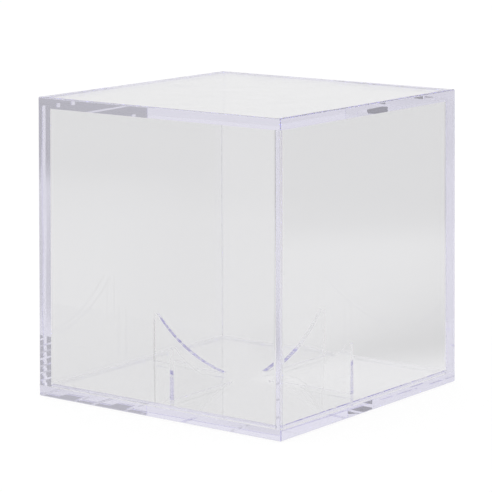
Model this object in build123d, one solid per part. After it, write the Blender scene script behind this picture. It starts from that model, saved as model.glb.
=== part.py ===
from build123d import *

import os
from math import sqrt

# Clear acrylic display cube for a ball.
#
# A five-sided moulded cover drops over a flat base plate. A low raised pad on the plate fits
# inside the cover's walls and keeps them in place. Four upright fins stand on the pad in a
# plus arrangement, with their curved edges turned inwards and upwards, and together they
# cradle the ball.
#
# Millimetres, +Z up. The origin is at the middle of the base plate's underside, and the
# cube's sides face -X, +X, -Y and +Y.

# ---------------------------------------------------------------- driving dimensions
CUBE_WIDTH = 82.5  # outside width at the base plate, the same both ways
CUBE_HEIGHT = 82.5  # underside of the plate to the top of the cover
SIDE_DRAFT = 0.75  # how far each cover wall leans in over the cube's full height
CORNER_RADIUS = 0.4  # the cube's four upright edges

PLATE_THICKNESS = 3.0  # at the edge, under the cover's walls
PLATE_EDGE_RADIUS = 0.3  # rounding of the plate's lower edge
PAD_HEIGHT = 0.5  # raised pad inside the cover's walls
PAD_CLEARANCE = 0.15  # pad to cover wall, each side
PAD_BEVEL = 0.15  # upper edge of the pad

WALL_THICKNESS = 2.8  # cover walls
TOP_THICKNESS = 3.2  # cover top
COVER_TOP_RADIUS = 0.35  # rounding round the cover's top face
COVER_FOOT_BEVEL = 0.25  # inner lead-in at the cover's open foot
INNER_CORNER_RADIUS = 0.6  # upright edges inside the cover
SEAT_GAP = 0.05  # dry joint between the cover's foot and the plate

FIN_COUNT = 4
FIN_NAMES = ["right", "back", "left", "front"]  # +X, +Y, -X, -Y
FIN_FOOT_THICKNESS = 1.5
FIN_TIP_THICKNESS = 0.9  # each fin thins upwards by its moulding draft
FIN_OUTER_RADIUS = 33.0  # cube axis to a fin's upright outer edge
FIN_INNER_RADIUS = 8.0  # cube axis to a fin's inner toe
FIN_TOP = 17.4  # height of a fin's tip above the underside of the plate
CRADLE_RADIUS = 42.0  # curved edge of the fins, centred on the cube axis
CRADLE_CENTRE = 44.9  # height of that centre
FIN_TIP_RADIUS = 0.3  # outer top corner of a fin
WELD_DEPTH = 0.05  # how deep the solvent weld sinks a fin into the pad

ACRYLIC_DENSITY = 1.19e-3  # g/mm3

# ---------------------------------------------------------------- worked out from those
COVER_FOOT = PLATE_THICKNESS + SEAT_GAP
COVER_CEILING = CUBE_HEIGHT - TOP_THICKNESS
PAD_TOP = PLATE_THICKNESS + PAD_HEIGHT
FIN_FOOT = PAD_TOP - WELD_DEPTH


def cover_width(height):
    """Outside width of the drafted cover at a height above the underside of the plate."""
    return CUBE_WIDTH - 2 * SIDE_DRAFT * height / CUBE_HEIGHT


def cavity_width(height):
    """Inside width of the cover at a height."""
    return cover_width(height) - 2 * WALL_THICKNESS


def rounded_square(width, radius, height):
    """A square face with round corners, lying flat at a height."""
    return Pos(0, 0, height) * RectangleRounded(width, width, radius)


def drafted_block(width_at, radius, bottom, top):
    """A square block that tapers from bottom to top, with round upright edges."""
    ends = [rounded_square(width_at(height), radius, height) for height in (bottom, top)]
    return loft(ends, ruled=True)


def make_cover():
    """The five-sided cover: four drafted walls and a flat top, open underneath."""
    shell = drafted_block(cover_width, CORNER_RADIUS, COVER_FOOT, CUBE_HEIGHT)
    shell = fillet(shell.faces().sort_by(Axis.Z)[-1].edges(), COVER_TOP_RADIUS)
    cavity = drafted_block(cavity_width, INNER_CORNER_RADIUS, COVER_FOOT, COVER_CEILING)
    return shell - cavity - make_lead_in()


def make_lead_in():
    """The tapered block that bevels the inner edge of the cover's open foot."""
    mouth_width = cavity_width(COVER_FOOT) + 2 * COVER_FOOT_BEVEL
    mouth_corner = INNER_CORNER_RADIUS + COVER_FOOT_BEVEL
    bevel_top = COVER_FOOT + COVER_FOOT_BEVEL
    mouth = rounded_square(mouth_width, mouth_corner, COVER_FOOT)
    throat = rounded_square(cavity_width(bevel_top), INNER_CORNER_RADIUS, bevel_top)
    return loft([mouth, throat], ruled=True)


def make_base_plate():
    """The flat plate with the low square pad that locates the cover."""
    outline = rounded_square(CUBE_WIDTH, CORNER_RADIUS, 0)
    plate = extrude(outline, amount=PLATE_THICKNESS, dir=(0, 0, 1))
    plate = fillet(plate.faces().sort_by(Axis.Z)[0].edges(), PLATE_EDGE_RADIUS)

    pad_width = cavity_width(COVER_FOOT) - 2 * PAD_CLEARANCE
    pad_corner = INNER_CORNER_RADIUS - PAD_CLEARANCE
    pad_outline = rounded_square(pad_width, pad_corner, PLATE_THICKNESS)
    pad = extrude(pad_outline, amount=PAD_HEIGHT, dir=(0, 0, 1))
    pad = chamfer(pad.faces().sort_by(Axis.Z)[-1].edges(), PAD_BEVEL)
    return plate + pad


def cradle_height(radius):
    """Height of the fins' curved edge at a distance from the cube axis."""
    return CRADLE_CENTRE - sqrt(CRADLE_RADIUS**2 - radius**2)


def cradle_radius(height):
    """Distance from the cube axis at which the curved edge reaches a height."""
    return sqrt(CRADLE_RADIUS**2 - (CRADLE_CENTRE - height) ** 2)


def draft_wedge():
    """A long block along X that thins from a fin's foot to its tip, to cut the fin from."""
    length = 3 * FIN_OUTER_RADIUS
    foot = Pos(0, 0, FIN_FOOT) * Rectangle(length, FIN_FOOT_THICKNESS)
    tip = Pos(0, 0, FIN_TOP) * Rectangle(length, FIN_TIP_THICKNESS)
    return loft([foot, tip], ruled=True)


def make_fin():
    """One fin in the XZ plane, reaching along +X, with its foot sunk by the weld."""
    tip_start = cradle_radius(FIN_TOP)
    toe_height = cradle_height(FIN_INNER_RADIUS)
    middle_radius = (tip_start + FIN_INNER_RADIUS) / 2

    toe = (FIN_INNER_RADIUS, toe_height)
    middle = (middle_radius, cradle_height(middle_radius))
    tip = (tip_start, FIN_TOP)
    outline = [
        ThreePointArc(toe, middle, tip),
        Line(tip, (FIN_OUTER_RADIUS, FIN_TOP)),
        Line((FIN_OUTER_RADIUS, FIN_TOP), (FIN_OUTER_RADIUS, FIN_FOOT)),
        Line((FIN_OUTER_RADIUS, FIN_FOOT), (FIN_INNER_RADIUS, FIN_FOOT)),
        Line((FIN_INNER_RADIUS, FIN_FOOT), toe),
    ]
    side = Plane.XZ * make_face(outline)
    blank = extrude(side, amount=FIN_FOOT_THICKNESS, both=True)
    tip_edge = blank.edges().filter_by(Axis.Y).sort_by(Axis.Z)[-2:].sort_by(Axis.X)[-1]
    return fillet(tip_edge, FIN_TIP_RADIUS) & draft_wedge()


def make_parts():
    """Every separate piece of the cube, by node name."""
    parts = {"cover": make_cover(), "base_plate": make_base_plate()}
    fin = make_fin()
    for index, side in enumerate(FIN_NAMES):
        turned = Rot(0, 0, index * 360 / FIN_COUNT) * fin
        parts[f"cradle_fin_{side}"] = turned
    return parts


parts = make_parts()
os.makedirs("parts", exist_ok=True)
for name, solid in parts.items():
    solid.label = name
    export_step(solid, f"parts/{name}.step")
    print(f"{name}: {solid.volume:.1f} mm3, {solid.volume * ACRYLIC_DENSITY:.2f} g")
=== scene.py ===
# The looks of the clear acrylic display cube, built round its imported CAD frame. Metres, +Z up.

import math

import bpy
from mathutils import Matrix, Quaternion, Vector


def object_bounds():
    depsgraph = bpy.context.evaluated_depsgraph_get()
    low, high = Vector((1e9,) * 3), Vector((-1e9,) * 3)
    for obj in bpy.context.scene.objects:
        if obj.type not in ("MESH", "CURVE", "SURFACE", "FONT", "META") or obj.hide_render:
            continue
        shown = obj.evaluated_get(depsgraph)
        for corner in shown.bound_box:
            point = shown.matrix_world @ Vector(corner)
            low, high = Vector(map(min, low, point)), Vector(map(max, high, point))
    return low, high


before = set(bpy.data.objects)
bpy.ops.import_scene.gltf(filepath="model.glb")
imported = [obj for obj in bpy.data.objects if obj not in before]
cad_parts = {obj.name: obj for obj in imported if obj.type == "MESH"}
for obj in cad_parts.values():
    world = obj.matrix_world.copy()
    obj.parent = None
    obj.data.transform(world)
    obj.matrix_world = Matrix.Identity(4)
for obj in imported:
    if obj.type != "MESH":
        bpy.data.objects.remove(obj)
cad_low, cad_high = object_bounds()
CUBE = cad_high.x - cad_low.x  # outside width of the cube, the unit of the view

# ---------------------------------------------------------------- the view
VIEW_AZIMUTH = 37.36  # degrees round from the front side towards the right side
VIEW_ELEVATION = 10.25
VIEW_ROLL = -0.14
VIEW_DISTANCE = 7.935 * CUBE
VIEW_AIM = Vector((-0.0093, -0.0063, 0.4871)) * CUBE
LENS = 174.1
SENSOR = 36.0

# ---------------------------------------------------------------- the studio
# A white table and soft light all round. Seen straight on, the table and the backdrop are plain
# white. The cube itself sees lower levels: highest near it and behind it, lower to its back
# right, and a little lower to its front left.
WORLD_WHITE = 1.0  # the backdrop, seen straight on
WORLD_LEVEL = 0.895  # the light that the cube sees
FLOOR_REACH = 9.0
FLOOR_GAP = 0.0003  # air under the plate, so that its underside mirrors the light inside it
FLOOR_ALBEDO = 0.12
FLOOR_WHITE = 0.92  # glow that brings the bare floor to white, over its lit share
FLOOR_LEVEL = 0.765  # glow that the cube sees, over the lit share

BACK_RIGHT = Vector((0.607, 0.795, 0.0))
FRONT_LEFT = -BACK_RIGHT
ACROSS = Vector((0.795, -0.607, 0.0))  # square to those two, towards the front right
BACK_RIGHT_TURN = (0.45, 0.95)  # cosines between which the light turns to that side's level
FRONT_LEFT_TURN = (0.30, 0.90)
DIM_SIDES = (  # direction, the studio's level that way, and its turn
    (BACK_RIGHT, 0.58, BACK_RIGHT_TURN),
    (FRONT_LEFT, 0.95, FRONT_LEFT_TURN),
)

# White paper lies round the cube. The table's level changes where the paper ends. To the back
# right, near the cube, the paper's glow carries a painted shade and a painted pool of light.
PAPER_EDGE = 0.27
PAPER_FADE = 0.09
PAPER_BEYOND = 0.97  # the table's level beyond the paper, behind the cube
PAPER_PAINTED_SHADE = 0.78  # painted shade: the paper's glow to the back right, dimmed on the side towards the back left, behind the cube
PAPER_PAINTED_LIGHT = 1.10  # painted pool of light: the paper's glow there, raised on the side towards the front right
PAPER_TURN = (-0.05, 0.0)  # places across between which the painted shade gives way to the painted light

# Small dull grey cards at the front left. They make the dark marks in the right bands.
CARD_DISTANCE = 0.256
CARD_GREY = 0.48
CARD_ROUGHNESS = 0.9
CARDS = (  # place across, width, bottom, top
    (-0.0333, 0.0088, 0.033, 0.038),
    (-0.0333, 0.0088, 0.046, 0.052),
    (-0.0333, 0.0088, 0.111, 0.117),
    (-0.0419, 0.0110, 0.060, 0.068),
)

# Light bounces many times inside the plates before it gets out.
INNER_BOUNCES = 256
SEE_THROUGH_BOUNCES = 16

# ---------------------------------------------------------------- acrylic
ACRYLIC_IOR = 1.49
ACRYLIC_CLEARS = (0.12, 0.0, 0.85)  # how much each channel escapes the absorption
SCRATCH_SCALE = 2600  # hairlines per metre, across them
SCRATCH_STRETCH = (1.0, 1.0, 0.04)  # hairlines run up the walls, the way a cloth wipes them
SCRATCH_RANGE = (0.62, 0.80)  # the part of the noise that shows
PATCH_SCALE = 45  # worn patches per metre
PATCH_RANGE = (0.40, 0.75)
WORN_ROUGHNESS = 0.05
RIPPLE_SCALE = 55  # ripples of mould flow per metre


def make_camera():
    """The camera at the photograph's viewing angle."""
    data = bpy.data.cameras.new("camera")
    data.lens = LENS
    data.sensor_width = SENSOR
    data.clip_start = 0.01
    data.clip_end = 50.0
    camera = bpy.data.objects.new("camera", data)
    azimuth = math.radians(VIEW_AZIMUTH)
    elevation = math.radians(VIEW_ELEVATION)
    back = Vector(
        (
            math.sin(azimuth) * math.cos(elevation),
            -math.cos(azimuth) * math.cos(elevation),
            math.sin(elevation),
        )
    )
    camera.location = VIEW_AIM + back * VIEW_DISTANCE
    camera.rotation_mode = "QUATERNION"
    roll = Quaternion((0, 0, 1), math.radians(VIEW_ROLL))
    camera.rotation_quaternion = (-back).to_track_quat("-Z", "Y") @ roll
    bpy.context.scene.collection.objects.link(camera)
    bpy.context.scene.camera = camera


def feed(tree, value, socket):
    """Gives a socket its value, which is a number or another node's output."""
    if isinstance(value, (int, float)):
        socket.default_value = value
    else:
        tree.links.new(value, socket)


def math_node(tree, operation, first, second):
    """A maths node on two values."""
    node = tree.nodes.new("ShaderNodeMath")
    node.operation = operation
    feed(tree, first, node.inputs[0])
    feed(tree, second, node.inputs[1])
    return node.outputs[0]


def smooth_step(tree, value, low, high):
    """0 below low, 1 above high, and smooth between them."""
    node = tree.nodes.new("ShaderNodeMapRange")
    node.interpolation_type = "SMOOTHSTEP"
    tree.links.new(value, node.inputs["Value"])
    node.inputs["From Min"].default_value = low
    node.inputs["From Max"].default_value = high
    return node.outputs["Result"]


def mix_numbers(tree, share, first, second):
    """first where share is 0, second where it is 1."""
    node = tree.nodes.new("ShaderNodeMix")
    feed(tree, share, node.inputs["Factor"])
    feed(tree, first, node.inputs["A"])
    feed(tree, second, node.inputs["B"])
    return node.outputs["Result"]


def along(tree, place, direction):
    """How far a place lies along a direction."""
    dot = tree.nodes.new("ShaderNodeVectorMath")
    dot.operation = "DOT_PRODUCT"
    tree.links.new(place, dot.inputs[0])
    dot.inputs[1].default_value = direction
    return dot.outputs["Value"]


def unit_vector(tree, vector):
    """The same direction at length 1."""
    unit = tree.nodes.new("ShaderNodeVectorMath")
    unit.operation = "NORMALIZE"
    tree.links.new(vector, unit.inputs[0])
    return unit.outputs[0]


def vector_length(tree, vector):
    """The length of a vector."""
    length = tree.nodes.new("ShaderNodeVectorMath")
    length.operation = "LENGTH"
    tree.links.new(vector, length.inputs[0])
    return length.outputs["Value"]


def seen_straight_on(tree):
    """1 where the camera looks straight at the studio, 0 where the light comes off the cube."""
    return tree.nodes.new("ShaderNodeLightPath").outputs["Is Camera Ray"]


def studio_level(tree, direction):
    """The level of the far studio in a direction, as a share of its highest."""
    unit = unit_vector(tree, direction)
    level = 1.0
    for side, side_level, turn in DIM_SIDES:
        share = smooth_step(tree, along(tree, unit, side), *turn)
        level = math_node(tree, "MULTIPLY", level, mix_numbers(tree, share, 1.0, side_level))
    return level


def paper_level_painted_shade_and_light(tree, place):
    """The level of the paper near the cube, with a painted shade and a painted pool of light to
    the back right.
    """
    to_front_right = smooth_step(tree, along(tree, place, ACROSS), *PAPER_TURN)
    # the painted shade, giving way to the painted pool of light towards the front right
    level = mix_numbers(tree, to_front_right, PAPER_PAINTED_SHADE, PAPER_PAINTED_LIGHT)
    to_back_right = along(tree, unit_vector(tree, place), BACK_RIGHT)
    share = smooth_step(tree, to_back_right, *BACK_RIGHT_TURN)
    return mix_numbers(tree, share, 1.0, level)


def table_level(tree, place):
    """The level of the table: the paper near the cube, and the far studio's beyond it."""
    far = smooth_step(tree, vector_length(tree, place), PAPER_EDGE, PAPER_EDGE + PAPER_FADE)
    beyond = math_node(tree, "MULTIPLY", studio_level(tree, place), FLOOR_LEVEL * PAPER_BEYOND)
    # near the cube: the paper's glow, with its painted shade and painted light to the back right
    near = math_node(tree, "MULTIPLY", paper_level_painted_shade_and_light(tree, place), FLOOR_LEVEL)
    return mix_numbers(tree, far, near, beyond)


def make_world():
    """Soft studio light from every side, dimmer to the back right and the front left."""
    world = bpy.data.worlds.new("studio")
    world.use_nodes = True
    tree = world.node_tree
    background = tree.nodes["Background"]
    background.inputs["Color"].default_value = (1, 1, 1, 1)
    direction = tree.nodes.new("ShaderNodeTexCoord").outputs["Generated"]
    level = math_node(tree, "MULTIPLY", studio_level(tree, direction), WORLD_LEVEL)
    strength = mix_numbers(tree, seen_straight_on(tree), level, WORLD_WHITE)
    tree.links.new(strength, background.inputs["Strength"])
    bpy.context.scene.world = world


def make_sheet(name, corners, material):
    """A flat sheet with four corners."""
    mesh = bpy.data.meshes.new(name)
    mesh.from_pydata(corners, [], [(0, 1, 2, 3)])
    mesh.materials.append(material)
    sheet = bpy.data.objects.new(name, mesh)
    bpy.context.scene.collection.objects.link(sheet)
    return sheet


def floor_material():
    """A little matt white under a glow, which is plain white only when seen straight on."""
    material = bpy.data.materials.new("floor")
    material.use_nodes = True
    tree = material.node_tree
    tree.nodes.clear()
    diffuse = tree.nodes.new("ShaderNodeBsdfDiffuse")
    diffuse.inputs["Color"].default_value = (FLOOR_ALBEDO, FLOOR_ALBEDO, FLOOR_ALBEDO, 1)
    place = tree.nodes.new("ShaderNodeNewGeometry").outputs["Position"]
    strength = mix_numbers(tree, seen_straight_on(tree), table_level(tree, place), FLOOR_WHITE)
    glow = tree.nodes.new("ShaderNodeEmission")
    tree.links.new(strength, glow.inputs["Strength"])
    add = tree.nodes.new("ShaderNodeAddShader")
    tree.links.new(diffuse.outputs[0], add.inputs[0])
    tree.links.new(glow.outputs[0], add.inputs[1])
    out = tree.nodes.new("ShaderNodeOutputMaterial")
    tree.links.new(add.outputs[0], out.inputs["Surface"])
    return material


def make_floor():
    """The plain white table."""
    turns = ((-1, -1), (1, -1), (1, 1), (-1, 1))
    corners = [(x * FLOOR_REACH, y * FLOOR_REACH, -FLOOR_GAP) for x, y in turns]
    floor = make_sheet("floor", corners, floor_material())


def card_material():
    """Dull grey card."""
    material = bpy.data.materials.new("card")
    material.use_nodes = True
    shader = material.node_tree.nodes["Principled BSDF"]
    shader.inputs["Base Color"].default_value = (CARD_GREY, CARD_GREY, CARD_GREY, 1)
    shader.inputs["Roughness"].default_value = CARD_ROUGHNESS
    return material


def make_cards():
    """The grey cards, upright and facing the cube. The camera sees them only in the acrylic."""
    material = card_material()
    for place, width, bottom, top in CARDS:
        middle = FRONT_LEFT * CARD_DISTANCE + ACROSS * place
        half = ACROSS * (width / 2)
        low = middle + Vector((0, 0, bottom))
        high = middle + Vector((0, 0, top))
        card = make_sheet("card", [low - half, low + half, high + half, high - half], material)
        card.visible_camera = False


def noise(tree, place, scale, detail, stretch=(1, 1, 1)):
    """Smooth noise from 0 to 1 over the object's own space, scale in patches per metre."""
    mapping = tree.nodes.new("ShaderNodeMapping")
    mapping.inputs["Scale"].default_value = stretch
    tree.links.new(place, mapping.inputs["Vector"])
    node = tree.nodes.new("ShaderNodeTexNoise")
    node.inputs["Scale"].default_value = scale
    node.inputs["Detail"].default_value = detail
    tree.links.new(mapping.outputs[0], node.inputs["Vector"])
    return node.outputs[0]


def acrylic(name, tint, absorbs, haze, scuffs, flow):
    """Clear moulded acrylic with hairline scuffs and slow ripples of mould flow.

    tint is what gets through each time the light goes in and out, and absorbs is the absorption
    per metre in the strongest channel. haze is the share of light that the clean surface
    scatters, and scuffs is what the hairlines add to it. flow is the height of the ripples in
    metres.
    """
    material = bpy.data.materials.new(name)
    material.use_nodes = True
    tree = material.node_tree
    shader = tree.nodes["Principled BSDF"]
    shader.inputs["Base Color"].default_value = (*tint, 1)
    shader.inputs["IOR"].default_value = ACRYLIC_IOR
    place = tree.nodes.new("ShaderNodeTexCoord").outputs["Object"]

    scratches = noise(tree, place, SCRATCH_SCALE, 2, SCRATCH_STRETCH)
    hairlines = smooth_step(tree, scratches, *SCRATCH_RANGE)
    patches = smooth_step(tree, noise(tree, place, PATCH_SCALE, 3), *PATCH_RANGE)
    worn = math_node(tree, "MULTIPLY", hairlines, patches)
    clear = mix_numbers(tree, worn, 1 - haze, 1 - haze - scuffs)
    tree.links.new(clear, shader.inputs["Transmission Weight"])
    tree.links.new(mix_numbers(tree, worn, 0.0, WORN_ROUGHNESS), shader.inputs["Roughness"])

    bump = tree.nodes.new("ShaderNodeBump")
    bump.inputs["Distance"].default_value = flow
    tree.links.new(noise(tree, place, RIPPLE_SCALE, 1), bump.inputs["Height"])
    tree.links.new(bump.outputs[0], shader.inputs["Normal"])

    volume = tree.nodes.new("ShaderNodeVolumeAbsorption")
    volume.inputs["Color"].default_value = (*ACRYLIC_CLEARS, 1)
    volume.inputs["Density"].default_value = absorbs
    tree.links.new(volume.outputs[0], tree.nodes["Material Output"].inputs["Volume"])
    return material


def dress(node, material):
    """Gives a CAD node its finished material."""
    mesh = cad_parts[node].data
    mesh.materials.clear()
    mesh.materials.append(material)


make_camera()
make_world()
make_floor()
make_cards()

scene = bpy.context.scene
scene.view_settings.view_transform = "Standard"
scene.cycles.max_bounces = INNER_BOUNCES
scene.cycles.transmission_bounces = INNER_BOUNCES
scene.cycles.glossy_bounces = INNER_BOUNCES
scene.cycles.transparent_max_bounces = SEE_THROUGH_BOUNCES

cover_acrylic = acrylic(
    "cover_acrylic", tint=(0.945, 0.945, 0.948), absorbs=1.5, haze=0.001, scuffs=0.02, flow=0.00002
)
base_acrylic = acrylic(
    "base_acrylic", tint=(0.980, 0.980, 0.980), absorbs=1.6, haze=0.0, scuffs=0.02, flow=0.00001
)
fin_acrylic = acrylic(
    "fin_acrylic", tint=(1.0, 1.0, 1.0), absorbs=0.4, haze=0.0, scuffs=0.01, flow=0.00001
)
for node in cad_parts:
    if node == "cover":
        dress(node, cover_acrylic)
    elif node == "base_plate":
        dress(node, base_acrylic)
    else:
        dress(node, fin_acrylic)
